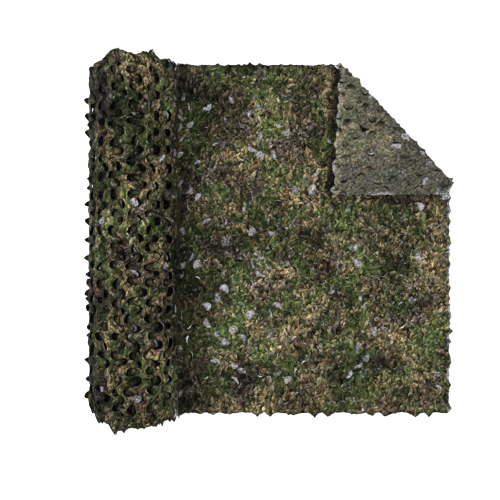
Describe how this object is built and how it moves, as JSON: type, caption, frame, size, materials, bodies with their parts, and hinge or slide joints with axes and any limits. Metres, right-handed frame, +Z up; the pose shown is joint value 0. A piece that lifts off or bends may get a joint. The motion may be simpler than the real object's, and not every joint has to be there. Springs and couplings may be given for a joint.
{
  "type": "camouflage netting roll",
  "caption": "Roll of leaf-cut camouflage netting on its side, its loose end laid out flat with one corner folded back to show the paler reverse.",
  "frame": {"origin": "on the floor, at the middle of the flat foot that the roll rests on, under the middle of its axis", "axes": "+X from the roll towards the netting's free end, +Y along the roll towards the end with the folded corner, +Z up"},
  "size_m": [1.5532, 1.5351, 0.3744],
  "materials": {
    "camouflage_cloth": "printed woven polyester with a slight sheen, mottled green, olive, tan and brown on the face and the same print paler and greyer on the reverse"
  },
  "bodies": {
    "root": {"net_roll": "camouflage_cloth", "net_loose_end": "camouflage_cloth"}
  },
  "joints": []
}
